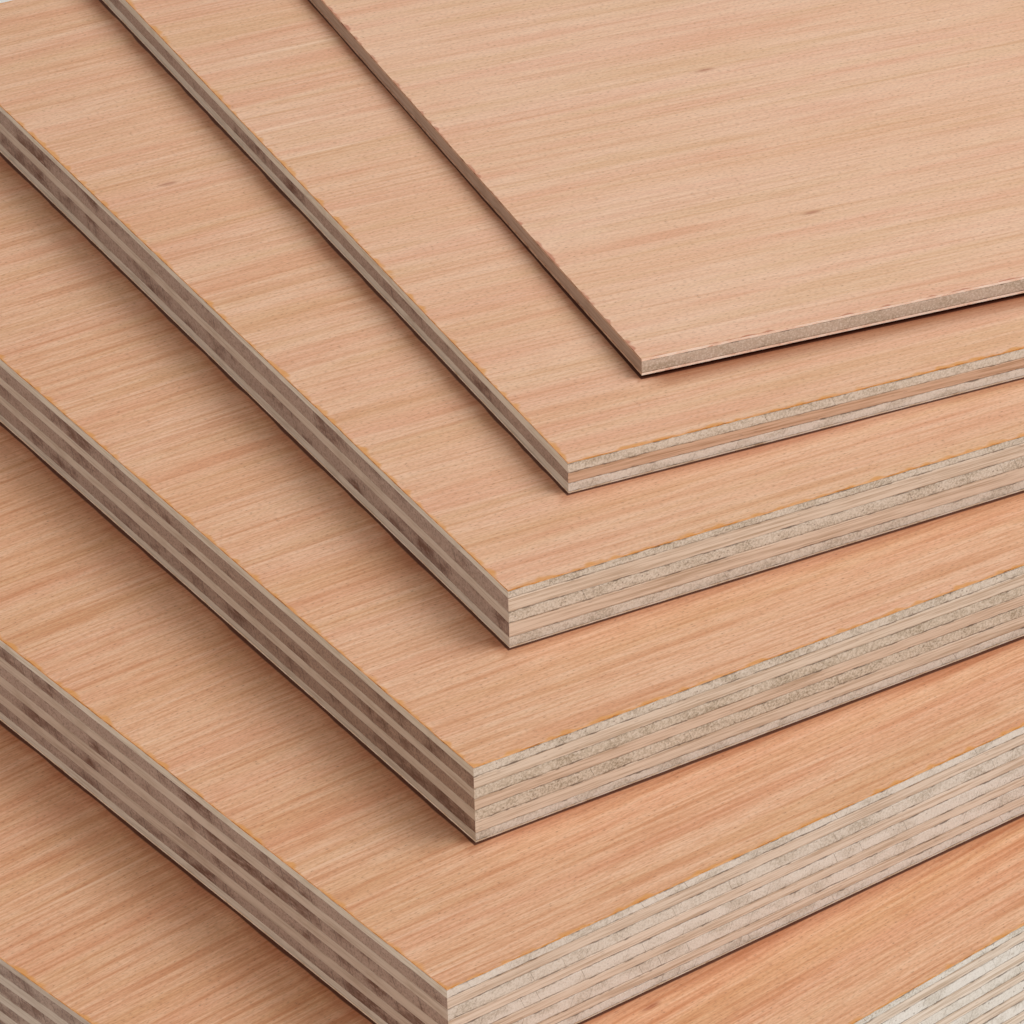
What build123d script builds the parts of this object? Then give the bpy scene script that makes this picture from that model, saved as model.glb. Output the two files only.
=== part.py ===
from build123d import *
import os

# A fanned stack of six plywood panels that lie loose on each other, the thickest at the bottom.
# Every panel is glued up from an odd number of rotary-cut veneers, sawn flush on all four edges.
# Millimetres, +Z up. The bottom panel's long side runs along +X, and so does its face grain.
# The origin is on the floor, under the middle of the whole stack.

# Outline of a panel, the same for all six
PANEL_LENGTH = 400.0
PANEL_WIDTH = 260.0

# Outer veneers, sanded thin: the 3 mm panel keeps thicker ones over its single core veneer
FACE_VENEER = 0.25
THIN_PANEL_VENEER = 0.45

# The 3 mm panel is too thin to stay flat: it has cupped, and its two long edges lift this much
# while the middle of its width lies on the panel below
THIN_PANEL_CUP = 0.6

# Inner veneers of each panel, from the top down. Crossbands and long-grain plies take turns,
# and a crossband lies next to each outer veneer.
INNER_VENEERS_22 = [1.25, 1.95, 2.2, 2.1, 2.05, 1.75, 2.2, 2.0, 2.2, 2.1, 1.7]
INNER_VENEERS_18 = [1.55, 2.15, 2.2, 2.05, 2.3, 1.85, 2.25, 1.8, 1.65]
INNER_VENEERS_15 = [1.7, 2.35, 1.95, 2.2, 2.1, 2.4, 1.5]
INNER_VENEERS_12 = [1.35, 2.75, 2.15, 2.8, 1.8]
INNER_VENEERS_6 = [1.8, 2.1, 1.7]
INNER_VENEERS_3 = [2.4]

# How the fan is laid out: how far the near left corner of each panel is set in from that of the
# panel below, along and across the lower panel, and the clockwise turn between the two
SET_IN_18_ALONG = 31.7
SET_IN_18_ACROSS = 32.4
TURN_18 = 4.77
SET_IN_15_ALONG = 27.6
SET_IN_15_ACROSS = 29.8
TURN_15 = 4.45
SET_IN_12_ALONG = 24.2
SET_IN_12_ACROSS = 27.3
TURN_12 = 4.09
SET_IN_6_ALONG = 24.1
SET_IN_6_ACROSS = 22.9
TURN_6 = 3.52
SET_IN_3_ALONG = 24.3
SET_IN_3_ACROSS = 20.9
TURN_3 = 3.02


def ply_names(panel, inner_count):
    """The node names of a panel's veneers, from the top down."""
    names = [f"{panel}_ply_01_face"]
    for i in range(inner_count):
        kind = "crossband" if i % 2 == 0 else "long_grain"
        names.append(f"{panel}_ply_{i + 2:02d}_{kind}")
    names.append(f"{panel}_ply_{inner_count + 2:02d}_back")
    return names


def flat_veneer(thickness):
    """A veneer with its near left corner at the origin and its underside at Z = 0."""
    return Box(PANEL_LENGTH, PANEL_WIDTH, thickness, align=(Align.MIN, Align.MIN, Align.MIN))


def cupped_veneer(thickness, cup):
    """A veneer bent to an arc across its width, its long edges higher than its middle by the cup."""
    profile = Plane.YZ
    under = [(0, cup), (PANEL_WIDTH / 2, 0), (PANEL_WIDTH, cup)]
    over = [(y, z + thickness) for y, z in under]
    outline = [
        ThreePointArc(*under),
        Line(under[-1], over[-1]),
        ThreePointArc(*reversed(over)),
        Line(over[0], under[0]),
    ]
    return extrude(profile * make_face(outline), PANEL_LENGTH)


def panel_plies(panel, outer, inner, cup, corner):
    """The veneers of one panel by name, glued face to face from the corner's level upwards."""
    plies = {}
    level = 0.0
    thicknesses = [outer] + inner + [outer]
    for name, thickness in reversed(list(zip(ply_names(panel, len(inner)), thicknesses))):
        veneer = cupped_veneer(thickness, cup) if cup > 0 else flat_veneer(thickness)
        plies[name] = corner * Pos(0, 0, level) * veneer
        level += thickness
    return plies, level


def set_in(along, across, turn):
    """Where a panel's near left corner lies on the panel below, with the panel's clockwise turn."""
    return Pos(along, across, 0) * Rot(0, 0, -turn)


# Each panel lies on the one before it: name, outer veneer, inner veneers, cup, and the place of its
# near left corner on the panel below
FLAT = 0.0
LAYOUT = [
    ("sheet_22mm", FACE_VENEER, INNER_VENEERS_22, FLAT, Location((0, 0, 0))),
    ("sheet_18mm", FACE_VENEER, INNER_VENEERS_18, FLAT, set_in(SET_IN_18_ALONG, SET_IN_18_ACROSS, TURN_18)),
    ("sheet_15mm", FACE_VENEER, INNER_VENEERS_15, FLAT, set_in(SET_IN_15_ALONG, SET_IN_15_ACROSS, TURN_15)),
    ("sheet_12mm", FACE_VENEER, INNER_VENEERS_12, FLAT, set_in(SET_IN_12_ALONG, SET_IN_12_ACROSS, TURN_12)),
    ("sheet_6mm", FACE_VENEER, INNER_VENEERS_6, FLAT, set_in(SET_IN_6_ALONG, SET_IN_6_ACROSS, TURN_6)),
    (
        "sheet_3mm",
        THIN_PANEL_VENEER,
        INNER_VENEERS_3,
        THIN_PANEL_CUP,
        set_in(SET_IN_3_ALONG, SET_IN_3_ACROSS, TURN_3),
    ),
]

stack = {}
corner = Location((0, 0, 0))
for panel, outer, inner, cup, place in LAYOUT:
    corner = corner * place
    plies, height = panel_plies(panel, outer, inner, cup, corner)
    stack.update(plies)
    corner = corner * Pos(0, 0, height)

# Bring the middle of the stack's footprint over the origin
footprint = Compound(list(stack.values())).bounding_box()
to_origin = Pos(-footprint.center().X, -footprint.center().Y, -footprint.min.Z)

os.makedirs("parts", exist_ok=True)
for node, ply in stack.items():
    export_step(to_origin * ply, f"parts/{node}.step")
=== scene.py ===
import math
import random

import bpy
from mathutils import Euler, Matrix, Vector


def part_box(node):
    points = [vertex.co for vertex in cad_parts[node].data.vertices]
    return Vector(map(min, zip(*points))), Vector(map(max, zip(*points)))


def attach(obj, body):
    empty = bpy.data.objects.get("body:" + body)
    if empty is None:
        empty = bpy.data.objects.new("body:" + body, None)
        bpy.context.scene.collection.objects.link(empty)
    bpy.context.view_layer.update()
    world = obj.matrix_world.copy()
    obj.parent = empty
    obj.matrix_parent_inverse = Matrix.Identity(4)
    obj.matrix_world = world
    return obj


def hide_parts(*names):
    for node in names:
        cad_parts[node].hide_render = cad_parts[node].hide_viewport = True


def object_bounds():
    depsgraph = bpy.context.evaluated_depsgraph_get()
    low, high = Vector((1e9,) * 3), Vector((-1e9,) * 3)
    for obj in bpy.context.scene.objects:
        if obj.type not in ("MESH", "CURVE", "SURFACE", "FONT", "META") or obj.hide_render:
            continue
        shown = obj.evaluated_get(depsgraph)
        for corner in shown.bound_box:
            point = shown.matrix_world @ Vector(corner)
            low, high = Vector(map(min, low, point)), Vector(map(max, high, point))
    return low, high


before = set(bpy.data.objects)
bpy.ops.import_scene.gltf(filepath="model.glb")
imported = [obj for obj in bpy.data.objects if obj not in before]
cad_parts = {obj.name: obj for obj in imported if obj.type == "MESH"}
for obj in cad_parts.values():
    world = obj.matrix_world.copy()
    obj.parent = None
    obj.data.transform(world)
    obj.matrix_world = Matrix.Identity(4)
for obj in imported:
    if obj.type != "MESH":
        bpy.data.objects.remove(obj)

bl_info = {
    "name": "Fanned stack of plywood sheets",
    "version": (1, 0, 0),
    "blender": (4, 5, 0),
    "location": "View3D > Sidebar > Plywood",
    "description": "Dresses every veneer of a fanned stack of plywood sheets and lights it in a studio",
    "category": "Object",
}

MM = 0.001

# The nodes that are used most, each with its settings
MATH = "ShaderNodeMath"
TIMES = (MATH, {"operation": "MULTIPLY"})
OVER = (MATH, {"operation": "DIVIDE"})
PLUS = (MATH, {"operation": "ADD"})
MINUS = (MATH, {"operation": "SUBTRACT"})
TIMES_PLUS = (MATH, {"operation": "MULTIPLY_ADD"})
LEAST = (MATH, {"operation": "MINIMUM"})
ABOVE = (MATH, {"operation": "GREATER_THAN"})
BELOW = (MATH, {"operation": "LESS_THAN"})
SIZE_OF = (MATH, {"operation": "ABSOLUTE"})
MIX = ("ShaderNodeMix", {"data_type": "RGBA"})
FADE = ("ShaderNodeMapRange", {"interpolation_type": "SMOOTHSTEP"})
SWITCH = ("GeometryNodeSwitch", {"input_type": "FLOAT"})
CLAMP = "ShaderNodeClamp"
VECTOR = "ShaderNodeVectorMath"
SPLIT = "ShaderNodeSeparateXYZ"
JOIN = "ShaderNodeCombineXYZ"
STORED = "ShaderNodeAttribute"

CAD_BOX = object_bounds()
BOTTOM_VENEER = "sheet_22mm_ply_13_back"
THIN_SHEET = "sheet_3mm"
CUPPED = 0.05 * MM  # a sheet that is raised by more than this at its corners is cupped
CUP_RINGS = 12  # rows of faces over half a cupped sheet's width
FACE_RINGS = 6  # the same over a face veneer, so that its triangles aren't long and thin
PLAIN_PITCH = 12.0 * MM  # length of a face along an edge that has no checks
FACE_PITCH = 4.0 * MM  # the same along a face veneer's torn edge
CELL_POINTS = 4.0  # points of the outline in one cell, so that a check can open in it
EDGE_ROWS = 4.0  # rows of faces over an edge's height
ROWS_NEAR_GLUE = 0.25  # below 1, it crowds those rows towards the glue lines
CLOSED_CHECKS = 0.82  # share of the lathe checks that stay shut
CHECK_LEAN = -0.3  # how far a check leans over a ply's height, in cells
WAVE_SCALE = 32.0  # a glue line's waves are about 1/32 m long
WAVE_CHANGE = 900.0  # how fast the wave changes with the glue line's height
SAW_MARK_SCALE = 900.0  # saw marks are about 1/900 m long, three times as long as high
SAW_MARK_STRETCH = 3.0
LOG_SIZE = 900.0  # each veneer's grain is taken from its own place in a block of wood this large, in mm
WELD = 0.002 * MM
NO_SHEET_ABOVE = (9.0, 9.0, 0.0)  # a corner far away, for the face of the top sheet
SWELLING_FADE = 8.0 * MM  # how far from a corner the swollen end grain reaches its full thickness
TONE_SPREAD = 0.22  # how far a veneer's tone strays from its sheet's
BLUSH_SPREAD = 0.2
MANY_PLIES = 8
THIN_PAINTED_LIGHT = 0.4  # painted light: how much paler the lowest crossband's end grain is painted near the shaded foot, in a sheet with fewer plies than that
THICK_PAINTED_LIGHT = 0.2  # the same in a sheet with more
LOWEST_DULLNESS = 0.35  # how dull its side grain is, as a share of the others': paler, as painted light near the foot
GROWTH_PITCH = 1.25  # from one growth line to the next, in mm
WARMEST = "F8EDE1"  # multiplies the face of the bottom sheet, and less each sheet above
PAINTED_SHADE_TINT = "C49A7C"  # painted shade: multiplies a face near the foot of the sheet above
PAINTED_GAP_SHADOW = "B99A84"  # painted shadow: multiplies it where the gap under a cupped sheet shades it
OPEN_GLUE = "4A3D32"  # gaps in a glue line and cracks in end grain
PAINTED_EDGE_TINT = "E0D3C7"  # painted shade: multiplies a short edge, most near its sheet's near left corner
RAW_SHINE = 0.3  # raw wood shines less than a smooth surface of its IOR, as its fibres break the light up
FLOOR_LEVEL = -0.2 * MM
SENSOR_WIDTH = 36.0

# How deep an orange the face veneers of each sheet are, from 0 to 1
SHEET_WARMTH = {
    "sheet_3mm": 0.0,
    "sheet_6mm": 0.25,
    "sheet_12mm": 0.4,
    "sheet_15mm": 0.65,
    "sheet_18mm": 0.8,
    "sheet_22mm": 1.0,
}

# How light (tone) and how pink (blush) the wood of each sheet is, and how much painted shade darkens its
# short edges (shade)
SHEET_TONES = {
    "sheet_3mm": (0.50, 0.55, 0.4),
    "sheet_6mm": (0.38, 1.0, 0.28),
    "sheet_12mm": (0.28, 0.20, 0.12),
    "sheet_15mm": (0.40, 0.15, 0.9),
    "sheet_18mm": (0.80, 0.20, 0.2),
    "sheet_22mm": (0.9, 0.30, 0.7),
}


def linear(colour):
    """An sRGB hex colour as linear red, green, blue and alpha."""
    channels = [int(colour[i:i + 2], 16) / 255 for i in (0, 2, 4)]
    low = 0.04045
    return tuple(c / 12.92 if c <= low else ((c + 0.055) / 1.055) ** 2.4 for c in channels) + (1.0,)


def add(tree, kind, *inputs, **settings):
    """Adds a node with its settings, and links or sets its inputs, given in order or by name.

    The kind is a node type, or one with its usual settings. A node given for an input stands for its first
    output.
    """
    if isinstance(kind, tuple):
        kind, usual = kind
        settings = {**usual, **settings}
    node = tree.nodes.new(kind)
    for name, value in settings.items():
        setattr(node, name, value)
    sockets = [s for s in node.inputs if s.enabled]
    if inputs and isinstance(inputs[0], dict):
        sockets = [next(s for s in sockets if s.name == name) for name in inputs[0]]
        inputs = inputs[0].values()
    for socket, value in zip(sockets, inputs):
        if isinstance(value, bpy.types.Node):
            value = next(s for s in value.outputs if s.enabled)
        if isinstance(value, bpy.types.NodeSocket):
            tree.links.new(value, socket)
        else:
            socket.default_value = value
    return node


def colour_property(label, description, colour):
    """A colour that the user can change, given as sRGB hex."""
    return bpy.props.FloatVectorProperty(
        name=label, description=description, subtype="COLOR", size=4,
        min=0.0, max=1.0, default=linear(colour))


def place_property(label, description, place):
    """A place that the user can change, in metres."""
    return bpy.props.FloatVectorProperty(
        name=label, description=description, subtype="XYZ", unit="LENGTH", size=3, precision=4, default=place)


def length_property(label, description, millimetres):
    """A length that the user can change."""
    return bpy.props.FloatProperty(
        name=label, description=description, unit="LENGTH", precision=5, min=0.0,
        default=millimetres * MM)


class VeneerSizes(bpy.types.PropertyGroup):
    """Sizes of what the saw and the press left on the veneers, and of the painted contact shade"""
    glue_wave: length_property("Glue line wave", "How far a glue line strays from straight", 0.07)
    glue_groove: length_property("Glue line groove", "How far the edge is worn back at a glue line", 0.05)
    end_swelling: length_property(
        "End swelling", "How far a long-grain ply has swollen at each glue line of the short edges", 0.13)
    check_pitch: length_property("Check pitch", "From one lathe check to the next in end grain", 3.1)
    check_width: length_property("Check width", "How wide a lathe check has opened", 0.07)
    check_depth: length_property("Check depth", "How deep a lathe check goes in from the saw cut", 0.30)
    saw_roughness: length_property("Saw roughness", "How far the saw cut strays in and out", 0.05)
    clean_cut: length_property("Clean cut", "How far the edge of a back or thick face veneer strays", 0.04)
    fray: length_property("Torn arris", "How far the face veneer is torn back along its edge", 0.16)
    back_inset: length_property("Back inset", "How far the saw has torn the back veneer away", 0.02)
    dust_width: length_property("Painted contact shade", "How far painted shade reaches from the foot of the sheet above", 0.62)
    painted_shade_under_cup: length_property("Painted shade under a cupped sheet", "The same under a cupped sheet", 0.30)


class FaceLook(bpy.types.PropertyGroup):
    """Colours of the face and back veneers"""
    pale: colour_property("Pale wood", "Pale bands of the face veneer", "F2CFB5")
    warm: colour_property("Warm wood", "Warm bands of the face veneer", "EBC2A2")
    line: colour_property("Grain line", "Darker fibres between the pale ones", "C8895F")
    streak: colour_property("Pale streak", "Long pale fibres", "F5D9C2")
    pink: colour_property("Pink cast", "Bands with a pink cast", "E3A78B")
    tan: colour_property("Tan cast", "Bands with a yellower cast", "DCB78C")
    pore: colour_property("Pore", "Short dark pores and flecks", "8A5A3E")
    gum: colour_property("Gum spot", "Small red-brown spots", "9A5238")
    arris: colour_property("Arris", "Glue-soaked wood along the sawn arris", "D8994F")
    thin_arris: colour_property("Thin sheet arris", "Redder stain along the thin sheet's arris", "A8553C")
    dust: colour_property("Painted contact shade", "Painted contact shadow at the foot of the sheet above", "3E1202")


class CrossbandLook(bpy.types.PropertyGroup):
    """Colours of the crossbands"""
    end: colour_property("End grain", "Fuzzy sawn ends of the pale fibres", "CEC3B0")
    end_white: colour_property("White end grain", "Palest sawn ends", "E8E5E0")
    end_grey: colour_property("Grey end grain", "Duller patches of the sawn ends", "ADA18C")
    side: colour_property("Side grain", "Smooth pale wood on the short edges", "D5D3CB")
    side_dull: colour_property("Dull side grain", "The duller inner crossbands", "BEB3A9")
    thin_end: colour_property("Thin sheet end grain", "Pinkish sawn ends in the thin sheet", "CCBAB1")
    thin_side: colour_property("Thin sheet side grain", "Brown side grain in the thin sheet", "AB988B")
    glue: colour_property("Glue line", "Cured glue at the edges of the ply", "6B5442")


class LongGrainLook(bpy.types.PropertyGroup):
    """Colours of the long-grain plies"""
    side: colour_property("Side grain", "Warm wood along the long edges", "E0D4C5")
    side_pink: colour_property("Pink side grain", "The same wood with a pink cast", "D6B59C")
    end: colour_property("End grain", "Open dark pores on the short edges", "A5958C")
    end_dark: colour_property("Dark end grain", "Reddish dark patches of end grain", "70554A")
    glue: colour_property("Glue line", "Cured glue at the edges of the ply", "6B5442")


class StudioLook(bpy.types.PropertyGroup):
    """Floor, light and camera"""
    floor: colour_property("Floor", "Plain pale floor", "F1F0EE")
    floor_size: length_property("Floor size", "Side of the square floor", 6000.0)
    sky: bpy.props.FloatProperty(
        name="Fill light", description="Strength of the soft light from all round", default=0.28, min=0.0)
    sky_tint: colour_property("Fill tint", "Colour of the light from all round", "FFF4EA")
    key: bpy.props.FloatProperty(
        name="Key light", description="Power of the large lamp", unit="POWER", default=28.4, min=0.0)
    key_tint: colour_property("Key tint", "Colour of the large lamp", "FFFDFA")
    key_width: length_property("Key width", "Width of the large lamp", 1300.0)
    key_height: length_property("Key height", "Height of the large lamp", 1300.0)
    key_place: place_property("Key place", "From the middle of the stack", (0.75, -0.85, 1.45))
    side: bpy.props.FloatProperty(
        name="Side light", description="Power of the low lamp", unit="POWER", default=7.4, min=0.0)
    side_tint: colour_property("Side tint", "Colour of the low lamp", "FFE2CC")
    side_width: length_property("Side width", "Width of the low lamp", 1200.0)
    side_height: length_property("Side height", "Height of the low lamp", 500.0)
    side_place: place_property("Side place", "From the middle of the stack", (-1.5, -0.6, 0.35))
    camera_place: place_property(
        "Camera place", "From the bottom sheet's near left corner", (-0.3703, -0.4542, 0.5))
    lens: bpy.props.FloatProperty(
        name="Lens", description="Focal length on a 36 mm sensor", subtype="DISTANCE_CAMERA", default=174.8)
    heading: bpy.props.FloatProperty(
        name="Heading", description="Turn of the view from +Y towards +X", subtype="ANGLE",
        default=math.radians(40.68))
    tilt: bpy.props.FloatProperty(
        name="Tilt", description="How far the view looks down", subtype="ANGLE", default=math.radians(30.61))
    roll: bpy.props.FloatProperty(
        name="Roll", description="Turn of the view about its own line", subtype="ANGLE",
        default=math.radians(-1.64))


class Sheet:
    """Where a sheet lies, read from the corners of its face veneer in the frame."""

    def __init__(self, name):
        self.name = name
        self.nodes = sorted(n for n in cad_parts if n.startswith(name + "_ply"))
        points = [v.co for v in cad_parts[self.nodes[-1]].data.vertices]
        near_left = min(points, key=lambda p: p.x + 0.2 * p.y)
        near_right = max(points, key=lambda p: p.x - 0.5 * p.y)
        far_left = max(points, key=lambda p: p.y - 0.2 * p.x)
        along = (near_right - near_left).to_2d()
        across = (far_left - near_left).to_2d()
        self.corner = near_left.to_2d()
        self.length = along.length
        self.width = across.length
        self.turn = math.atan2(along.y, along.x)
        at_corner = [p.z for p in points if (p.to_2d() - self.corner).length < 0.1 * MM]
        self.cup = min(at_corner) - min(p.z for p in points)

    def heights(self, node):
        """Lower and upper face of a ply in the middle of the sheet's width."""
        low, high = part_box(node)
        return low.z, high.z - self.cup


def sheets():
    """The six sheets, from the floor up."""
    names = sorted({n.split("_ply")[0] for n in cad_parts}, key=lambda s: -int(s.split("_")[1][:-2]))
    return [Sheet(name) for name in names]


VENEER_INPUTS = {
    "Vector": ("Corner", "Corner Above"),
    "Int": ("Cells Along", "Cells Across", "Cap Rings"),
    "Bool": ("Fibre Across",),
    "Material": ("Flat Material", "Long Edge Material", "Short Edge Material"),
    "Float": (
        "Length", "Width", "Lower", "Upper", "Cup", "Turn", "Turn Above", "Dust Width", "Cupped Above",
        "Check Width", "Check Depth", "Lower Wave", "Upper Wave", "Lower Swelling", "Upper Swelling",
        "Groove", "Inset", "Roughness", "Seed", "Tone", "Blush", "Shade"),
}


def veneer_tree():
    """Geometry Nodes for one sawn veneer: a grid rolled round the ply, with open checks in its end grain."""
    tree = bpy.data.node_groups.new("Sawn veneer", "GeometryNodeTree")
    for kind, names in VENEER_INPUTS.items():
        for name in names:
            tree.interface.new_socket(name, in_out="INPUT", socket_type="NodeSocket" + kind)
    tree.interface.new_socket("Geometry", in_out="OUTPUT", socket_type="NodeSocketGeometry")
    given = tree.nodes.new("NodeGroupInput").outputs

    # Rows run from the middle of the lower face, over the edge, to the middle of the upper face
    points_along = add(tree, TIMES, given["Cells Along"], CELL_POINTS)
    points_across = add(tree, TIMES, given["Cells Across"], CELL_POINTS)
    half_round = add(tree, PLUS, points_along, points_across)
    whole_round = add(tree, TIMES, half_round, 2.0)
    last_row = add(tree, TIMES_PLUS, given["Cap Rings"], 2.0, EDGE_ROWS)
    grid = add(tree, "GeometryNodeMeshGrid", {"Size X": last_row, "Size Y": whole_round,
        "Vertices X": add(tree, PLUS, last_row, 1.0), "Vertices Y": add(tree, PLUS, whole_round, 1.0)})
    place = add(tree, SPLIT, add(tree, "GeometryNodeInputPosition"))
    row = add(tree, TIMES_PLUS, last_row, 0.5, place.outputs["X"])
    step = add(tree, TIMES_PLUS, whole_round, 0.5, place.outputs["Y"])
    step = add(tree, MATH, step, add(tree, MINUS, whole_round, 0.25), -0.25, operation="WRAP")

    # Which side of the outline a point is on, and how far along it
    second_half = add(tree, ABOVE, step, add(tree, MINUS, half_round, 0.25))
    on_side = add(tree, MINUS, step, add(tree, TIMES, second_half, half_round))
    on_short = add(tree, ABOVE, on_side, add(tree, MINUS, points_along, 0.25))
    count = add(tree, MINUS, on_side, add(tree, TIMES, on_short, points_along))
    cells = add(tree, SWITCH, on_short, given["Cells Along"], given["Cells Across"])
    side_length = add(tree, SWITCH, on_short, given["Length"], given["Width"])
    cell = add(tree, MATH, add(tree, TIMES_PLUS, count, 1 / CELL_POINTS, 0.01), operation="FLOOR")
    corner_of_cell = add(tree, MINUS, count, add(tree, TIMES, cell, CELL_POINTS))
    cell_length = add(tree, OVER, side_length, cells)

    # Lathe checks open only where the fibres end: each takes the last three points of a cell of four
    end_grain = add(tree, MATH, on_short, add(tree, MINUS, 1.0, given["Fibre Across"]), 0.1,
        operation="COMPARE")
    row_share = add(tree, CLAMP, {"Value": add(tree, MINUS, row, given["Cap Rings"]), "Max": EDGE_ROWS})
    from_middle = add(tree, TIMES_PLUS, row_share, 2 / EDGE_ROWS, -1.0)
    bowed = add(tree, TIMES, add(tree, MATH, from_middle, operation="SIGN"),
        add(tree, MATH, add(tree, SIZE_OF, from_middle), ROWS_NEAR_GLUE, operation="POWER"))
    height_share = add(tree, TIMES_PLUS, bowed, 0.5, 0.5)
    side = add(tree, TIMES_PLUS, second_half, 2.0, on_short)
    draw = add(tree, "ShaderNodeTexWhiteNoise",
        {"Vector": add(tree, JOIN, {"X": cell, "Y": side, "Z": given["Seed"]})}, noise_dimensions="3D")
    draws = add(tree, "FunctionNodeSeparateColor", draw.outputs["Color"]).outputs
    lean = add(tree, TIMES, add(tree, MINUS, height_share, 0.5), CHECK_LEAN)
    middle = add(tree, PLUS, add(tree, TIMES_PLUS, draws["Red"], 0.4, 0.3), lean)
    half_check = add(tree, OVER, add(tree, TIMES, given["Check Width"], 0.5), cell_length)
    chosen = add(tree, TIMES, end_grain, add(tree, ABOVE, draws["Green"], CLOSED_CHECKS))
    open_check = add(tree, TIMES, chosen, add(tree, MINUS, 1.0, add(tree, SIZE_OF, from_middle)))
    shoulder = add(tree, TIMES_PLUS, add(tree, MINUS, corner_of_cell, 2.0), half_check, middle)
    at_corner = add(tree, BELOW, corner_of_cell, 0.5)
    checked = add(tree, SWITCH, at_corner, shoulder, 0.0)
    plain = add(tree, TIMES, corner_of_cell, 1 / CELL_POINTS)
    in_cell = add(tree, SWITCH, end_grain, plain, checked)
    along = add(tree, OVER, add(tree, PLUS, cell, in_cell), cells)
    at_bottom = add(tree, MATH, corner_of_cell, 2.0, 0.25, operation="COMPARE")
    depth = add(tree, TIMES, add(tree, TIMES, given["Check Depth"], draws["Blue"]),
        add(tree, TIMES, open_check, at_bottom))

    # The outline from the near left corner, before checks and roughness
    half_length = add(tree, TIMES, given["Length"], 0.5)
    half_width = add(tree, TIMES, given["Width"], 0.5)
    first_x = add(tree, SWITCH, on_short, add(tree, TIMES, along, given["Length"]), given["Length"])
    first_y = add(tree, SWITCH, on_short, 0.0, add(tree, TIMES, along, given["Width"]))
    outward = add(tree, TIMES_PLUS, second_half, -2.0, 1.0)
    from_x = add(tree, TIMES, add(tree, MINUS, first_x, half_length), outward)
    from_y = add(tree, TIMES, add(tree, MINUS, first_y, half_width), outward)
    outline = add(tree, JOIN, {"X": add(tree, PLUS, from_x, half_length),
        "Y": add(tree, PLUS, from_y, half_width)})

    # On the short edges the end grain of the long-grain plies has swollen and crowds the crossbands
    from_end = add(tree, LEAST, along, add(tree, MINUS, 1.0, along))
    swollen = add(tree, OVER, add(tree, TIMES, from_end, side_length), SWELLING_FADE)
    swollen = add(tree, TIMES, add(tree, CLAMP, swollen), on_short)

    # Both plies at a glue line read the same wave, because it is drawn by the line's height. In the middle of
    # a ply's flat faces it fades out, so that each face closes in one point
    from_pole = add(tree, LEAST, row, add(tree, MINUS, last_row, row))
    cap_share = add(tree, CLAMP, add(tree, OVER, from_pole, given["Cap Rings"]))
    waves = []
    for level in ("Lower", "Upper"):
        noise = add(tree, "ShaderNodeTexNoise", {"Vector": outline,
            "W": add(tree, TIMES, given[level], WAVE_CHANGE), "Scale": WAVE_SCALE, "Detail": 4.0,
            "Roughness": 0.55}, noise_dimensions="4D", normalize=False)
        moved = add(tree, TIMES_PLUS, noise, given[level + " Wave"],
            add(tree, TIMES, swollen, given[level + " Swelling"]))
        waves.append(add(tree, TIMES_PLUS, moved, cap_share, given[level]))
    thickness = add(tree, MINUS, waves[1], waves[0])
    height = add(tree, TIMES_PLUS, thickness, height_share, waves[0])

    # The saw cut: worn back at the glue lines, slightly rough, and open at the checks
    at_glue = add(tree, ABOVE, add(tree, SIZE_OF, from_middle), 0.9)
    on_cut = add(tree, JOIN,
        {"X": from_x, "Y": from_y, "Z": add(tree, TIMES, height, SAW_MARK_STRETCH)})
    rough = add(tree, "ShaderNodeTexNoise", {"Vector": on_cut, "W": given["Seed"], "Scale": SAW_MARK_SCALE,
        "Detail": 2.0}, noise_dimensions="4D", normalize=False)
    worn = add(tree, TIMES_PLUS, at_glue, given["Groove"], given["Inset"])
    worn = add(tree, TIMES_PLUS, add(tree, SIZE_OF, rough), given["Roughness"], worn)
    check_x = add(tree, TIMES, add(tree, TIMES, depth, on_short), add(tree, TIMES, outward, -1.0))
    check_y = add(tree, TIMES, add(tree, TIMES, depth, add(tree, MINUS, 1.0, on_short)), outward)
    cut_back = []
    for value, half, check in ((from_x, half_length, check_x), (from_y, half_width, check_y)):
        shrink = add(tree, MINUS, 1.0, add(tree, OVER, worn, half))
        scaled = add(tree, TIMES, add(tree, TIMES, value, shrink), cap_share)
        cut_back.append(add(tree, PLUS, add(tree, PLUS, scaled, half), check))
    local_x, local_y = cut_back
    off_middle = add(tree, OVER, add(tree, MINUS, local_y, half_width), half_width)
    curl = add(tree, TIMES, add(tree, TIMES, off_middle, off_middle), given["Cup"])
    local = add(tree, JOIN, {"X": local_x, "Y": local_y, "Z": add(tree, PLUS, height, curl)})

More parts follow.
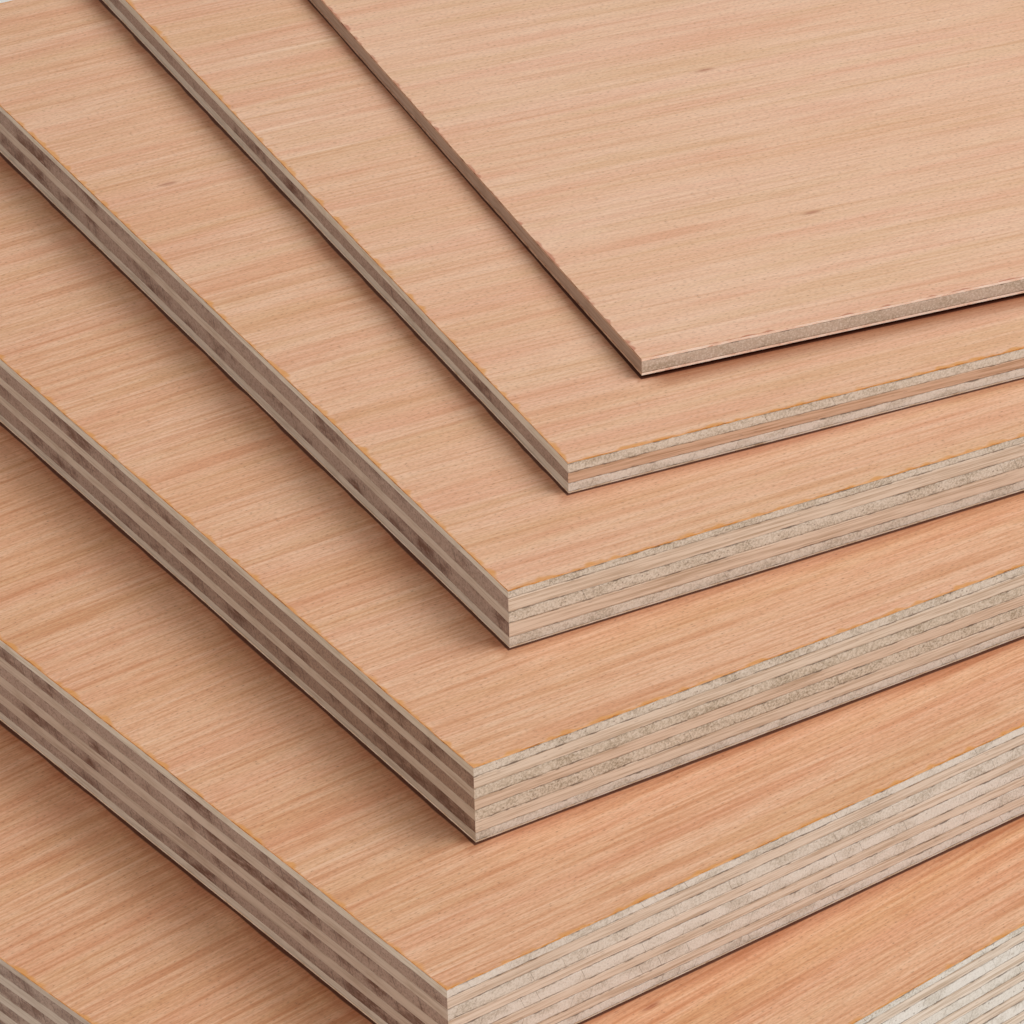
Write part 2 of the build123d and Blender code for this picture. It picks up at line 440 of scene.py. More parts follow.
    # What the finishes read: place on the sheet, place along the fibre, and depth in the ply, in millimetres
    on_sheet = add(tree, JOIN, {"X": local_x, "Y": local_y, "Z": height})
    in_mm = add(tree, VECTOR, {"Vector": on_sheet, "Scale": 1 / MM}, operation="SCALE")
    parts = add(tree, SPLIT, in_mm).outputs
    shift = add(tree, "ShaderNodeTexWhiteNoise", {"W": given["Seed"]}, noise_dimensions="1D")
    along_fibre = add(tree, JOIN, {
        "X": add(tree, SWITCH, given["Fibre Across"], parts["X"], parts["Y"]),
        "Y": add(tree, SWITCH, given["Fibre Across"], parts["Y"], parts["X"]), "Z": parts["Z"]})
    fibre = add(tree, VECTOR, shift.outputs["Color"], 3 * (LOG_SIZE,), along_fibre, operation="MULTIPLY_ADD")
    layer = add(tree, JOIN, {"X": add(tree, TIMES, add(tree, MINUS, height, waves[0]), 1 / MM),
        "Y": add(tree, TIMES, add(tree, MINUS, waves[1], height), 1 / MM)})
    turned = add(tree, "ShaderNodeVectorRotate", {"Vector": local, "Angle": given["Turn"]},
        rotation_type="Z_AXIS")
    placed = add(tree, VECTOR, turned, given["Corner"], operation="ADD")
    from_above = add(tree, VECTOR, placed, given["Corner Above"], operation="SUBTRACT")
    on_above = add(tree, "ShaderNodeVectorRotate", {"Vector": from_above,
        "Angle": add(tree, TIMES, given["Turn Above"], -1.0)}, rotation_type="Z_AXIS")
    above_mm = add(tree, VECTOR, {"Vector": on_above, "Scale": 1 / MM}, operation="SCALE")
    # How far the painted contact shade at the foot of the sheet above reaches, in millimetres
    painted_shade_mm = add(tree, TIMES, given["Dust Width"], 1 / MM)
    read_by_finishes = {
        "FLOAT_VECTOR": {"above": above_mm, "panel": in_mm, "grain": fibre, "layer": layer},
        "FLOAT": {"dust": painted_shade_mm, "cupped": given["Cupped Above"], "tone": given["Tone"],
            "blush": given["Blush"], "shade": given["Shade"]},
    }
    geometry = grid.outputs["Mesh"]
    for kind, values in read_by_finishes.items():
        for name, value in values.items():
            geometry = add(tree, "GeometryNodeStoreNamedAttribute",
                {"Geometry": geometry, "Name": name, "Value": value}, data_type=kind, domain="POINT")

    # Materials by side, while the grid's own place still tells the sides apart
    on_edge = add(tree, TIMES, add(tree, ABOVE, row, given["Cap Rings"]),
        add(tree, BELOW, row, add(tree, PLUS, given["Cap Rings"], EDGE_ROWS)))
    on_short_edge = add(tree, TIMES, on_edge, on_short)
    for part, chosen in (("Flat", True), ("Long Edge", on_edge), ("Short Edge", on_short_edge)):
        geometry = add(tree, "GeometryNodeSetMaterial",
            {"Geometry": geometry, "Selection": chosen, "Material": given[part + " Material"]})

    geometry = add(tree, "GeometryNodeSetPosition", {"Geometry": geometry, "Position": placed})
    geometry = add(tree, "GeometryNodeMergeByDistance", {"Geometry": geometry, "Distance": WELD})
    geometry = add(tree, "GeometryNodeFlipFaces", {"Mesh": geometry})
    geometry = add(tree, "GeometryNodeSetShadeSmooth", {"Geometry": geometry, "Shade Smooth": False})
    geometry = add(tree, "GeometryNodeRealizeInstances", {"Geometry": geometry})
    add(tree, "NodeGroupOutput", {"Geometry": geometry})
    return tree


def make_veneer(tree, sheet, node, values):
    """One ply: runs the tree on an empty mesh and keeps the result as a plain mesh in place of its solid."""
    name = node.replace("_ply_", "_veneer_")
    piece = bpy.data.objects.new(name, bpy.data.meshes.new(name))
    bpy.context.scene.collection.objects.link(piece)
    modifier = piece.modifiers.new("Sawn veneer", "NODES")
    modifier.node_group = tree
    lower, upper = sheet.heights(node)
    values = {
        "Length": sheet.length, "Width": sheet.width, "Lower": lower, "Upper": upper, "Cup": sheet.cup,
        "Turn": sheet.turn, "Corner": (sheet.corner.x, sheet.corner.y, 0.0), **values}
    for item in tree.interface.items_tree:
        if item.in_out == "INPUT":
            modifier[item.identifier] = values[item.name]
    evaluated = piece.evaluated_get(bpy.context.evaluated_depsgraph_get())
    mesh = bpy.data.meshes.new_from_object(evaluated)
    mesh.name = name
    piece.modifiers.remove(modifier)
    piece.data = mesh
    if len(mesh.polygons) == 0:
        raise RuntimeError(f"{name} came out empty")
    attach(piece, "root")
    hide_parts(node)
    return piece


def shared_tree():
    """The veneer tree, made once."""
    return bpy.data.node_groups.get("Sawn veneer") or veneer_tree()


def ply_values(sheet, node, sizes, end_grain_long, checks=True):
    """Inputs that every kind of ply sets in the same way."""
    number = int(node.split("_ply_")[1][:2])
    last = len(sheet.nodes)
    dice = random.Random(f"{sheet.name} {number}")
    tone, blush, shade = SHEET_TONES[sheet.name]
    swelling = -sizes.end_swelling if end_grain_long else sizes.end_swelling
    pitch = sizes.check_pitch
    long_pitch = pitch if end_grain_long and checks else PLAIN_PITCH
    short_pitch = PLAIN_PITCH if end_grain_long or not checks else pitch
    return {
        "Cells Along": round(sheet.length / long_pitch),
        "Cells Across": round(sheet.width / short_pitch),
        "Cap Rings": CUP_RINGS if sheet.cup > CUPPED else 1,
        "Fibre Across": end_grain_long,
        "Check Width": sizes.check_width,
        "Check Depth": sizes.check_depth,
        "Lower Wave": 0.0 if number == last else sizes.glue_wave,
        "Upper Wave": 0.0 if number == 1 else sizes.glue_wave,
        "Lower Swelling": -swelling if 1 < number < last - 1 else 0.0,
        "Upper Swelling": swelling if 2 < number < last else 0.0,
        "Groove": sizes.glue_groove,
        "Inset": 0.0,
        "Turn Above": 0.0,
        "Corner Above": (0.0, 0.0, 0.0),
        "Dust Width": 0.0,
        "Cupped Above": 0.0,
        "Roughness": sizes.saw_roughness,
        "Seed": dice.uniform(0.0, 100.0),
        "Tone": tone + dice.uniform(-TONE_SPREAD, TONE_SPREAD),
        "Blush": blush + dice.uniform(-BLUSH_SPREAD, BLUSH_SPREAD),
        "Shade": shade,
    }


def new_material(name):
    """A material with an empty tree but for its shader and output."""
    material = bpy.data.materials.new(name)
    material.use_nodes = True
    return material, material.node_tree, material.node_tree.nodes["Principled BSDF"]


def along_the_fibre(tree, along, across, through):
    """Coordinates along the fibre in which a feature of this length, width and depth in mm is one unit."""
    grain = add(tree, STORED, attribute_name="grain")
    scale = (1 / along, 1 / across, 1 / through if through else 1.0)
    return add(tree, "ShaderNodeMapping", {"Vector": grain.outputs["Vector"], "Scale": scale})


def fibre_noise(tree, along, across, through=0.0, detail=2.0, roughness=0.5):
    """Noise along the fibre, from the size in mm of its features along, across and through a ply."""
    place = along_the_fibre(tree, along, across, through)
    return add(tree, "ShaderNodeTexNoise",
        {"Vector": place, "Scale": 1.0, "Detail": detail, "Roughness": roughness},
        noise_dimensions="3D" if through else "2D")


def scattered(tree, along, across, through, size, share, softness=0.5):
    """Lens-shaped spots along the fibre, one at most in each cell of a length, width and depth in mm."""
    place = along_the_fibre(tree, along, across, through)
    spots = add(tree, "ShaderNodeTexVoronoi", {"Vector": place, "Scale": 1.0, "Randomness": 1.0},
        voronoi_dimensions="3D" if through else "2D")
    chosen = add(tree, "ShaderNodeSeparateColor", spots.outputs["Color"])
    here = add(tree, BELOW, chosen.outputs["Red"], share)
    return add(tree, TIMES, add(tree, FADE, spots.outputs["Distance"], size, size * softness), here)


def face_veneer_material(look, thin):
    """Rotary-cut okoume, sanded.

    It gives the eye a dull, even orange-pink with straight fine lines, long pale fibres, short dark pores and
    a stained arris. Real pores are about 0.15 mm wide and are drawn twice as wide, so that they show.
    """
    name = "Sanded okoume face veneer of the thin sheet" if thin else "Sanded okoume face veneer"
    material, tree, shader = new_material(name)
    bands = fibre_noise(tree, 130.0, 14.0, detail=2.0, roughness=0.55)
    casts = fibre_noise(tree, 85.0, 6.5, detail=2.0, roughness=0.6)
    lines = fibre_noise(tree, 60.0, 1.8, detail=3.0, roughness=0.7)
    fibres = fibre_noise(tree, 5.5, 0.36, detail=1.0, roughness=0.6)
    grit = fibre_noise(tree, 0.9, 0.30, detail=1.0)
    wood = add(tree, MIX, add(tree, FADE, bands, 0.15, 0.85), look.pale, look.warm)
    wood = add(tree, MIX, add(tree, FADE, casts, 0.48, 0.72, 0.0, 0.42), wood, look.pink)
    wood = add(tree, MIX, add(tree, FADE, casts, 0.50, 0.28, 0.0, 0.38), wood, look.tan)
    # Sheets lower in the stack are a deeper orange with plainer lines
    warmth = add(tree, STORED, attribute_name="blush").outputs["Fac"]
    plain = add(tree, FADE, warmth, 0.0, 1.0, 0.5, 1.1)
    for pattern, none, full, strength, colour in (
            (lines, 0.47, 0.76, 0.50, look.line), (lines, 0.52, 0.25, 0.48, look.streak),
            (fibres, 0.35, 0.75, 0.35, look.line)):
        share = add(tree, TIMES, add(tree, FADE, pattern, none, full, 0.0, strength), plain)
        wood = add(tree, MIX, share, wood, colour)
    wood = add(tree, MIX, add(tree, FADE, grit, 0.38, 0.78, 0.0, 0.20), wood, look.pore)
    slivers = scattered(tree, 260.0, 5.0, 0.0, 0.09, 0.22, 0.3)
    wood = add(tree, MIX, add(tree, TIMES, slivers, 0.75), wood, look.streak)
    # A gum spot here and there, a few millimetres long
    spots = add(tree, TIMES, scattered(tree, 75.0, 26.0, 0.0, 0.042, 0.24, 0.1),
        add(tree, FADE, fibres, 0.25, 0.65, 0.45, 1.0, interpolation_type="LINEAR"))
    wood = add(tree, MIX, add(tree, TIMES, spots, 0.70), wood, look.gum)
    # Growth lines 1.25 mm apart that wander a little and come and go
    grain = add(tree, STORED, attribute_name="grain")
    across = add(tree, SPLIT, grain.outputs["Vector"]).outputs["Y"]
    wander = add(tree, TIMES_PLUS, bands, 12.0, add(tree, TIMES, across, 2 * math.pi / GROWTH_PITCH))
    ripple = add(tree, MATH, wander, operation="SINE")
    growth = add(tree, TIMES, add(tree, FADE, ripple, -0.2, 1.0),
        add(tree, FADE, lines, 0.30, 0.62, 0.2, 1.0))
    wood = add(tree, MIX, add(tree, TIMES, add(tree, TIMES, growth, plain), 0.30), wood, look.line)
    wood = add(tree, MIX, add(tree, FADE, grit, 0.74, 0.82, 0.0, 0.5), wood, look.pore)
    wood = add(tree, MIX, warmth, wood, linear(WARMEST), blend_type="MULTIPLY")
    # Distance in from the sawn outline, on the sheet's own coordinates
    panel = add(tree, STORED, attribute_name="panel")
    place = add(tree, SPLIT, panel.outputs["Vector"])
    bottom = sheets()[0]
    gaps = []
    for axis, size in (("X", bottom.length / MM), ("Y", bottom.width / MM)):
        rest = add(tree, MINUS, size, place.outputs[axis])
        gaps.append(add(tree, LEAST, place.outputs[axis], rest))
    gap = add(tree, LEAST, gaps[0], gaps[1])
    uneven = fibre_noise(tree, 4.0, 4.0, detail=1.0, roughness=0.75)
    reach = add(tree, TIMES_PLUS, uneven, -3.0, gap)
    clear, stained, strength = (-1.2, -1.75, 0.6) if thin else (-0.75, -1.65, 0.75)
    edge = add(tree, FADE, reach, clear, stained, 0.0, strength)
    wood = add(tree, MIX, edge, wood, look.thin_arris if thin else look.arris)
    # Painted shade along the foot of the sheet above: a soft film of painted shade, and nearer the foot a
    # dark painted contact shadow
    above = add(tree, STORED, attribute_name="above")
    place = add(tree, SPLIT, above.outputs["Vector"])
    nearest = add(tree, LEAST, place.outputs["X"], place.outputs["Y"])
    width = add(tree, STORED, attribute_name="dust").outputs["Fac"]
    width = add(tree, TIMES, width, add(tree, FADE, bands, 0.32, 0.68, 0.8, 1.2))
    depth = add(tree, OVER, nearest, width)
    shade_veil = add(tree, FADE, depth, -6.0, -1.0, 0.0, 0.62)
    veiled_wood = add(tree, MIX, shade_veil, wood, linear(PAINTED_SHADE_TINT), blend_type="MULTIPLY")
    # Under the cupped sheet's long edge the painted shade reaches further out, as a painted shadow of the gap
    # beneath it
    gap_shadow_colour = add(tree, MIX, 0.9, veiled_wood, linear(PAINTED_GAP_SHADOW), blend_type="MULTIPLY")
    gap_shadow_share = add(tree, TIMES, add(tree, FADE, place.outputs["Y"], -6.5, -1.0),
        add(tree, FADE, place.outputs["X"], -2.0, 5.0))
    cupped = add(tree, STORED, attribute_name="cupped").outputs["Fac"]
    wood = add(tree, MIX, add(tree, TIMES, gap_shadow_share, cupped), veiled_wood, gap_shadow_colour)
    # The dark painted contact shadow right at the foot of the sheet above
    wood = add(tree, MIX, add(tree, FADE, depth, -1.30, -0.80, 0.0, 0.93), wood, look.dust)
    finish_wood(tree, shader, wood, fibres, 0.04, 0.62)
    return material


def glue_lines(tree, wood, glue, reach, strength):
    """Dark glue at a ply's two borders: a thin grey line with short open dashes.

    Real glue lines are about 0.05 mm thick. Theirs is the reach in mm on either side, so that it shows.
    """
    layer = add(tree, STORED, attribute_name="layer")
    place = add(tree, SPLIT, layer.outputs["Vector"])
    gap = add(tree, LEAST, place.outputs["X"], place.outputs["Y"])
    ragged = fibre_noise(tree, 0.9, 0.9, 0.6, detail=2.0, roughness=0.65)
    gap = add(tree, TIMES_PLUS, ragged, -0.24, gap)
    thin = add(tree, FADE, gap, reach, reach - 0.12, 0.0, strength)
    dashes = fibre_noise(tree, 4.0, 4.0, 1.5, detail=2.0, roughness=0.7)
    thin = add(tree, TIMES, thin, add(tree, FADE, dashes, 0.34, 0.58, 0.25, 1.0))
    dark = add(tree, TIMES, add(tree, TIMES, add(tree, FADE, gap, reach + 0.10, reach - 0.06),
        add(tree, FADE, dashes, 0.55, 0.63)), strength)
    wood = add(tree, MIX, thin, wood, glue)
    return add(tree, MIX, dark, wood, linear(OPEN_GLUE))


def painted_edge_shade(tree, wood, share):
    """A wood darkened towards brown by painted shade, as much as its sheet's shade value sets, most near the
    sheet's near left corner.
    """
    shade = add(tree, STORED, attribute_name="shade").outputs["Fac"]
    panel = add(tree, STORED, attribute_name="panel")
    from_corner = add(tree, SPLIT, panel.outputs["Vector"]).outputs["Y"]
    shade = add(tree, TIMES, shade, add(tree, FADE, from_corner, 0.0, 130.0, 1.3, 0.15,
        interpolation_type="LINEAR"))
    return add(tree, MIX, add(tree, TIMES, shade, share), wood, linear(PAINTED_EDGE_TINT), blend_type="MULTIPLY")


def finish_wood(tree, shader, wood, relief, depth, roughness):
    """Links a wood's colour and relief, in mm, to its shader."""
    bump = add(tree, "ShaderNodeBump", {"Strength": 0.5, "Distance": depth * MM, "Height": relief})
    for socket, value in (("Base Color", wood), ("Normal", bump)):
        tree.links.new(next(s for s in value.outputs if s.enabled), shader.inputs[socket])
    shader.inputs["Roughness"].default_value = roughness
    shader.inputs["IOR"].default_value = 1.5
    shader.inputs["Specular IOR Level"].default_value = RAW_SHINE


def hairlines(tree, patch, none, all_of_them, width):
    """Thin leaning cracks in end grain, about 4 mm apart, in some of its patches only."""
    grain = add(tree, STORED, attribute_name="grain")
    place = add(tree, SPLIT, grain.outputs["Vector"])
    lean = add(tree, TIMES_PLUS, place.outputs["Z"], -0.45, place.outputs["Y"])
    cracks = add(tree, "ShaderNodeTexVoronoi", {"W": lean, "Scale": 0.24, "Randomness": 1.0},
        voronoi_dimensions="1D", feature="DISTANCE_TO_EDGE")
    return add(tree, TIMES, add(tree, FADE, cracks, width, 0.0), add(tree, FADE, patch, none, all_of_them))


def crossband_end_material(look, thin):
    """Poplar sawn across its fibres, or the thin sheet's pinker core.

    Torn fibre ends give the eye a pale matt fuzz with grey patches, pits and leaning hairlines. A fibre is
    0.03 mm across, far too fine to show, so the fuzz is drawn at 0.4 mm and a hairline at 0.1 mm.
    """
    name = "Sawn pink hardwood end grain" if thin else "Sawn poplar end grain"
    material, tree, shader = new_material(name)
    tone = add(tree, STORED, attribute_name="tone").outputs["Fac"]
    fuzz = fibre_noise(tree, 0.45, 0.45, 0.38, detail=2.0, roughness=0.75)
    patch = fibre_noise(tree, 6.0, 6.0, 2.2, detail=2.0)
    wood = add(tree, MIX, tone, look.end, look.end_white)
    if thin:
        wood = add(tree, MIX, tone, look.thin_end, look.end)
    wood = add(tree, MIX, add(tree, FADE, patch, 0.42, 0.70, 0.0, 0.38), wood, look.end_grey)
    wood = add(tree, MIX, add(tree, FADE, fuzz, 0.50, 0.34, 0.0, 0.42), wood, look.end_white)
    speckle = add(tree, FADE, {"Value": tone, "From Min": 0.3, "From Max": 0.9,
        "To Min": 0.5 if thin else 0.85, "To Max": 0.25 if thin else 0.42}, interpolation_type="LINEAR")
    speckle = add(tree, TIMES, add(tree, FADE, fuzz, 0.44, 0.66), speckle)
    speckle = add(tree, TIMES, speckle, add(tree, FADE, patch, 0.40, 0.62, 0.65, 1.05))
    wood = add(tree, MIX, speckle, wood, linear("C5BFB6"), blend_type="MULTIPLY")
    hairline = add(tree, TIMES, hairlines(tree, patch, 0.38, 0.54, 0.026), tone)
    wood = add(tree, MIX, add(tree, TIMES, hairline, 0.38), wood, look.glue)
    pits = scattered(tree, 0.8, 0.8, 0.8, 0.26, 0.12)
    wood = add(tree, MIX, add(tree, TIMES, pits, 0.55), wood, look.glue)
    wood = glue_lines(tree, wood, look.glue, 0.06, 0.55)
    finish_wood(tree, shader, wood, fuzz, 0.12, 0.85)
    return material


def crossband_side_material(look, thin):
    """Poplar cut along its fibres, or the thin sheet's browner core.

    It gives the eye a smooth, nearly plain pale strip with faint lines, which are drawn 0.5 mm wide to show.
    """
    name = "Sawn pink hardwood side grain" if thin else "Sawn poplar side grain"
    material, tree, shader = new_material(name)
    blush = add(tree, STORED, attribute_name="blush").outputs["Fac"]
    lines = fibre_noise(tree, 14.0, 0.5, 0.45, detail=3.0, roughness=0.7)
    wood = add(tree, MIX, blush, look.side, look.side_dull)
    if thin:
        wood = add(tree, MIX, add(tree, TIMES, blush, 0.3), look.thin_side, wood)
    shade = add(tree, MIX, 1.0, wood, linear("DAD3CB"), blend_type="MULTIPLY")
    wood = add(tree, MIX, add(tree, FADE, lines, 0.42, 0.72, 0.0, 0.9), wood, shade)
    mottle = fibre_noise(tree, 9.0, 3.0, 3.0, detail=3.0, roughness=0.7)
    wood = add(tree, MIX, add(tree, FADE, mottle, 0.50, 0.72, 0.0, 0.55), wood, shade)
    wood = painted_edge_shade(tree, wood, 0.55)
    wood = glue_lines(tree, wood, look.glue, -0.04, 0.35)
    finish_wood(tree, shader, wood, lines, 0.06, 0.7)
    return material


def long_grain_side_material(look):
    """Light red hardwood cut along its fibres.

    It gives the eye a warm strip with fine lines and short dark pores, which are drawn 0.45 mm wide to show.
    """
    material, tree, shader = new_material("Sawn light hardwood side grain")
    blush = add(tree, STORED, attribute_name="blush").outputs["Fac"]
    tone = add(tree, STORED, attribute_name="tone").outputs["Fac"]
    lines = fibre_noise(tree, 20.0, 0.6, 0.42, detail=3.0, roughness=0.75)
    wood = add(tree, MIX, blush, look.side, look.side_pink)
    plain = add(tree, FADE, blush, 0.0, 1.0, 0.75, 0.15)
    wood = add(tree, MIX, add(tree, TIMES, tone, plain), wood, linear("EBE1D6"))
    shade = add(tree, FADE, lines, 0.40, 0.68, 0.0, 0.9)
    wood = add(tree, MIX, shade, wood, linear("CEBFAF"), blend_type="MULTIPLY")
    pores = scattered(tree, 3.0, 0.45, 0.45, 0.2, 0.25)
    wood = add(tree, MIX, add(tree, TIMES, pores, 0.35), wood, look.end_dark)
    wood = glue_lines(tree, wood, look.glue, 0.04, 0.60)
    finish_wood(tree, shader, wood, lines, 0.08, 0.75)
    return material


def long_grain_end_material(look):
    """The same hardwood sawn across its fibres.

    Its open pores swallow light and give the eye a dark brown strip with reddish stretches, leaning rays and
    a few cracks. The pores are 0.1 mm across and are drawn as a fuzz of 0.4 mm, so that they show.
    """
    material, tree, shader = new_material("Sawn light hardwood end grain")
    fuzz = fibre_noise(tree, 0.42, 0.42, 0.42, detail=2.0, roughness=0.75)
    patch = fibre_noise(tree, 26.0, 15.0, 7.0, detail=3.0, roughness=0.6)
    streaks = add(tree, STORED, attribute_name="grain")
    turned = add(tree, "ShaderNodeMapping", {"Vector": streaks.outputs["Vector"],
        "Rotation": (math.radians(32.0), 0.0, 0.0), "Scale": (0.5, 0.4, 2.6)})
    rays = add(tree, "ShaderNodeTexNoise", {"Vector": turned, "Scale": 1.0, "Detail": 3.0})
    wood = add(tree, MIX, add(tree, FADE, patch, 0.48, 0.70), look.end, look.end_dark)
    wood = add(tree, MIX, add(tree, FADE, rays, 0.48, 0.72, 0.0, 0.45), wood, linear("BDAAA0"))
    shade = add(tree, FADE, fuzz, 0.46, 0.66, 0.0, 0.75)
    wood = add(tree, MIX, shade, wood, linear("C5BFBC"), blend_type="MULTIPLY")
    cracks = hairlines(tree, patch, 0.48, 0.55, 0.05)
    wood = add(tree, MIX, add(tree, TIMES, cracks, 0.6), wood, linear(OPEN_GLUE))
    wood = painted_edge_shade(tree, wood, 1.0)
    wood = glue_lines(tree, wood, look.glue, -0.06, 0.3)
    finish_wood(tree, shader, wood, fuzz, 0.10, 0.85)
    return material


def veneer_edge_material(name, first, second, flaw):
    """The sawn edge of a face or back veneer: a thin line, with torn and glue-soaked spots along it."""
    material, tree, shader = new_material(name)
    uneven = fibre_noise(tree, 3.5, 3.5, 1.0, detail=4.0, roughness=0.7)
    wood = add(tree, MIX, add(tree, FADE, uneven, 0.42, 0.55), linear(first), linear(second))
    wood = add(tree, MIX, add(tree, FADE, uneven, 0.57, 0.66, 0.0, 0.8), wood, linear(flaw))
    finish_wood(tree, shader, wood, uneven, 0.06, 0.7)
    return material


class OBJECT_OT_face_veneers(bpy.types.Operator):
    """Adds the face and back veneers of every sheet"""
    bl_idname = "object.plywood_face_veneers"
    bl_label = "Face and back veneers"

    def execute(self, context):
        sizes, look = context.scene.veneer_sizes, context.scene.face_look
        tree = shared_tree()
        flat = {thin: face_veneer_material(look, thin) for thin in (False, True)}
        golden = veneer_edge_material("Glue-soaked edge of the face veneer", "E0B080", "CE9048", "8F5C3C")
        # The back veneer's torn edge: pale wood, painted paler still as painted light near the shaded foot of
        # the sheet
        pale_back_edge = veneer_edge_material("Torn edge of the back veneer", "F6EADB", "E8D4BB", "BE9E7E")
        bright = veneer_edge_material("Side grain of the thick face veneer", "FDF0E6", "F6DCCB", "C48A72")
        brown = veneer_edge_material("End grain of the thick face veneer", "C0A28C", "AC8B74", "754A38")
        stack = sheets()
        for sheet, above in zip(stack, stack[1:] + [None]):
            thin = sheet.name == THIN_SHEET
            cupped = above is not None and above.cup > CUPPED
            for node in (sheet.nodes[0], sheet.nodes[-1]):
                back = node == sheet.nodes[-1]
                edge = bright if thin else pale_back_edge if back else golden
                short_edge = brown if thin else edge
                values = ply_values(sheet, node, sizes, False, checks=False)
                pitch = PLAIN_PITCH if back else FACE_PITCH
                piece = make_veneer(tree, sheet, node, {
                    **values, "Flat Material": flat[thin], "Long Edge Material": edge,
                    "Short Edge Material": short_edge,
                    "Cells Along": round(sheet.length / pitch), "Cells Across": round(sheet.width / pitch),
                    "Cap Rings": CUP_RINGS if thin else 1 if back else FACE_RINGS,
                    "Roughness": sizes.clean_cut if thin or back else sizes.fray,
                    "Inset": sizes.back_inset if back and not thin else 0.0,
                    "Groove": 0.0, "Check Depth": 0.0, "Blush": SHEET_WARMTH[sheet.name],
                    # Where the sheet above lies and how far its painted contact shade reaches; a cupped sheet
                    # above also gets a painted shadow of its gap
                    "Turn Above": above.turn if above else 0.0,
                    "Corner Above": (above.corner.x, above.corner.y, 0.0) if above else NO_SHEET_ABOVE,
                    "Dust Width": sizes.painted_shade_under_cup if cupped else sizes.dust_width,
                    "Cupped Above": 1.0 if cupped else 0.0})
        return {"FINISHED"}


class OBJECT_OT_crossbands(bpy.types.Operator):
    """Adds the crossbands of every sheet"""
    bl_idname = "object.plywood_crossbands"
    bl_label = "Crossbands"

    def execute(self, context):
        sizes, look = context.scene.veneer_sizes, context.scene.crossband_look
        tree = shared_tree()
        ends = {thin: crossband_end_material(look, thin) for thin in (False, True)}
        sides = {thin: crossband_side_material(look, thin) for thin in (False, True)}
        stack = sheets()
        for sheet in stack:
            thin = sheet.name == THIN_SHEET
            for node in sheet.nodes:
                if node.endswith("crossband"):
                    # The highest crossband is the palest on the short edges, but not in the bottom sheet, and
                    # the lowest is painted paler than those between, as painted light that offsets the shade
                    # near the sheet's foot
                    inner = node != sheet.nodes[1] or sheet == stack[0]
                    lowest = node == sheet.nodes[-2]
                    painted_light = THIN_PAINTED_LIGHT if len(sheet.nodes) < MANY_PLIES else THICK_PAINTED_LIGHT
                    values = ply_values(sheet, node, sizes, True, checks=not thin)
                    dull = random.Random(node).uniform(0.55, 1.0) if inner else 0.0
                    piece = make_veneer(tree, sheet, node, {
                        **values, "Flat Material": sides[thin],
                        "Long Edge Material": ends[thin], "Short Edge Material": sides[thin],
                        "Blush": dull * LOWEST_DULLNESS if lowest else dull,
                        "Tone": values["Tone"] + (painted_light if lowest and not thin else 0.0)})
        return {"FINISHED"}


class OBJECT_OT_long_grain_plies(bpy.types.Operator):
    """Adds the long-grain plies of every sheet"""
    bl_idname = "object.plywood_long_grain_plies"
    bl_label = "Long-grain plies"

    def execute(self, context):
        sizes, look = context.scene.veneer_sizes, context.scene.long_grain_look
        tree = shared_tree()
        end = long_grain_end_material(look)
        side = long_grain_side_material(look)
        for sheet in sheets():
            for node in sheet.nodes:
                if node.endswith("long_grain"):
                    piece = make_veneer(tree, sheet, node, {
                        **ply_values(sheet, node, sizes, False), "Flat Material": side,
                        "Long Edge Material": side, "Short Edge Material": end})
        return {"FINISHED"}


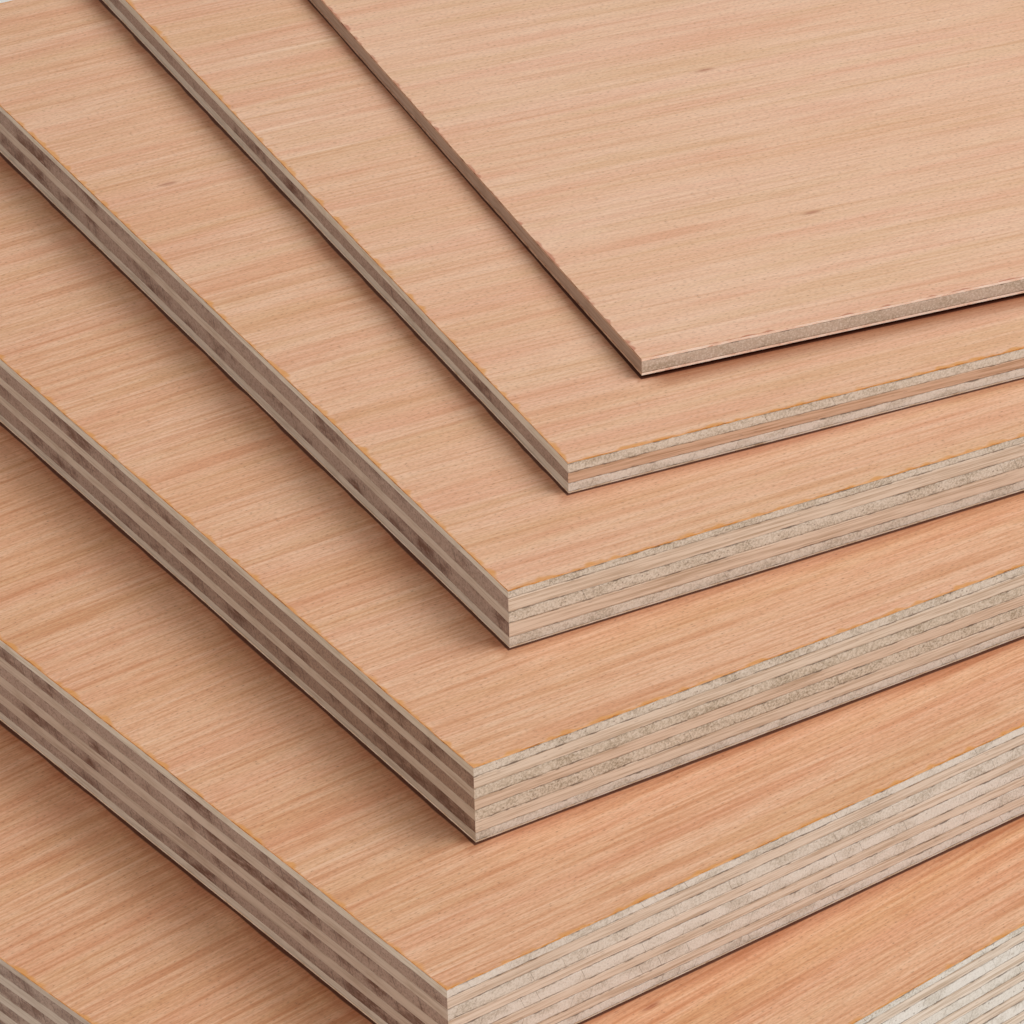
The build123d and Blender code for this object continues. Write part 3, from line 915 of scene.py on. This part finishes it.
class SCENE_OT_studio(bpy.types.Operator):
    """Adds the floor, the lights and the camera"""
    bl_idname = "scene.plywood_studio"
    bl_label = "Studio"

    def execute(self, context):
        scene, look = context.scene, context.scene.studio_look
        scene.view_settings.view_transform = "Standard"
        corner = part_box(BOTTOM_VENEER)[0]

        mesh = bpy.data.meshes.new("floor")
        half = look.floor_size / 2
        level = FLOOR_LEVEL
        corners = [(-half, -half, level), (half, -half, level), (half, half, level), (-half, half, level)]
        mesh.from_pydata(corners, [], [(0, 1, 2, 3)])
        floor = bpy.data.objects.new("floor", mesh)
        scene.collection.objects.link(floor)
        # Matt white paper gives the eye a plain pale ground that takes soft shadows
        material, tree, shader = new_material("Matt white studio paper")
        shader.inputs["Base Color"].default_value = look.floor
        shader.inputs["Roughness"].default_value = 0.9
        mesh.materials.append(material)

        world = bpy.data.worlds.new("Studio")
        scene.world = world
        world.use_nodes = True
        tree = world.node_tree
        tree.nodes.clear()
        fill = add(tree, "ShaderNodeBackground", {"Color": look.sky_tint, "Strength": look.sky})
        white = add(tree, "ShaderNodeBackground", {"Color": linear("FFFFFF"), "Strength": 1.0})
        path = add(tree, "ShaderNodeLightPath")
        seen = add(tree, MATH, path.outputs["Is Camera Ray"], path.outputs["Is Glossy Ray"],
            operation="MAXIMUM")
        seen = add(tree, MATH, seen, path.outputs["Is Transmission Ray"], operation="MAXIMUM")
        mix = add(tree, "ShaderNodeMixShader", seen, fill, white)
        add(tree, "ShaderNodeOutputWorld", {"Surface": mix})

        middle = (CAD_BOX[0] + CAD_BOX[1]) / 2
        for name in ("key", "side"):
            lamp = bpy.data.lights.new(name, "AREA")
            lamp.shape = "RECTANGLE"
            lamp.size = getattr(look, name + "_width")
            lamp.size_y = getattr(look, name + "_height")
            lamp.energy = getattr(look, name)
            lamp.color = getattr(look, name + "_tint")[:3]
            light = bpy.data.objects.new(name, lamp)
            light.location = middle + Vector(getattr(look, name + "_place"))
            light.rotation_euler = (middle - light.location).to_track_quat("-Z", "Y").to_euler()
            scene.collection.objects.link(light)

        data = bpy.data.cameras.new("camera")
        data.lens = look.lens
        data.sensor_width = SENSOR_WIDTH
        data.clip_start = 0.05
        data.clip_end = 50.0
        camera = bpy.data.objects.new("camera", data)
        turn = Euler((0.0, 0.0, -look.heading)).to_matrix()
        turn = turn @ Euler((math.pi / 2 - look.tilt, 0.0, 0.0)).to_matrix()
        turn = turn @ Euler((0.0, 0.0, look.roll)).to_matrix()
        camera.matrix_world = Matrix.Translation(corner + Vector(look.camera_place)) @ turn.to_4x4()
        scene.collection.objects.link(camera)
        scene.camera = camera
        return {"FINISHED"}


class VIEW3D_PT_plywood(bpy.types.Panel):
    """Lists the stack's pieces and their settings"""
    bl_label = "Plywood stack"
    bl_space_type = "VIEW_3D"
    bl_region_type = "UI"
    bl_category = "Plywood"

    def draw(self, context):
        for operator in OPERATORS:
            self.layout.operator(operator.bl_idname)
        for group in SETTINGS:
            box = self.layout.box()
            settings = getattr(context.scene, group)
            for name in settings.bl_rna.properties.keys():
                if name not in ("rna_type", "name"):
                    box.prop(settings, name)


OPERATORS = (OBJECT_OT_face_veneers, OBJECT_OT_crossbands, OBJECT_OT_long_grain_plies, SCENE_OT_studio)
SETTINGS = {
    "veneer_sizes": VeneerSizes,
    "face_look": FaceLook,
    "crossband_look": CrossbandLook,
    "long_grain_look": LongGrainLook,
    "studio_look": StudioLook,
}


def register():
    for group in SETTINGS.values():
        bpy.utils.register_class(group)
    for name, group in SETTINGS.items():
        setattr(bpy.types.Scene, name, bpy.props.PointerProperty(type=group))
    for operator in OPERATORS:
        bpy.utils.register_class(operator)
    bpy.utils.register_class(VIEW3D_PT_plywood)


def unregister():
    bpy.utils.unregister_class(VIEW3D_PT_plywood)
    for operator in reversed(OPERATORS):
        bpy.utils.unregister_class(operator)
    for name, group in reversed(list(SETTINGS.items())):
        delattr(bpy.types.Scene, name)
        bpy.utils.unregister_class(group)


def main():
    register()
    bpy.ops.object.plywood_face_veneers()
    bpy.ops.object.plywood_crossbands()
    bpy.ops.object.plywood_long_grain_plies()
    bpy.ops.scene.plywood_studio()


if __name__ == "__main__":
    main()
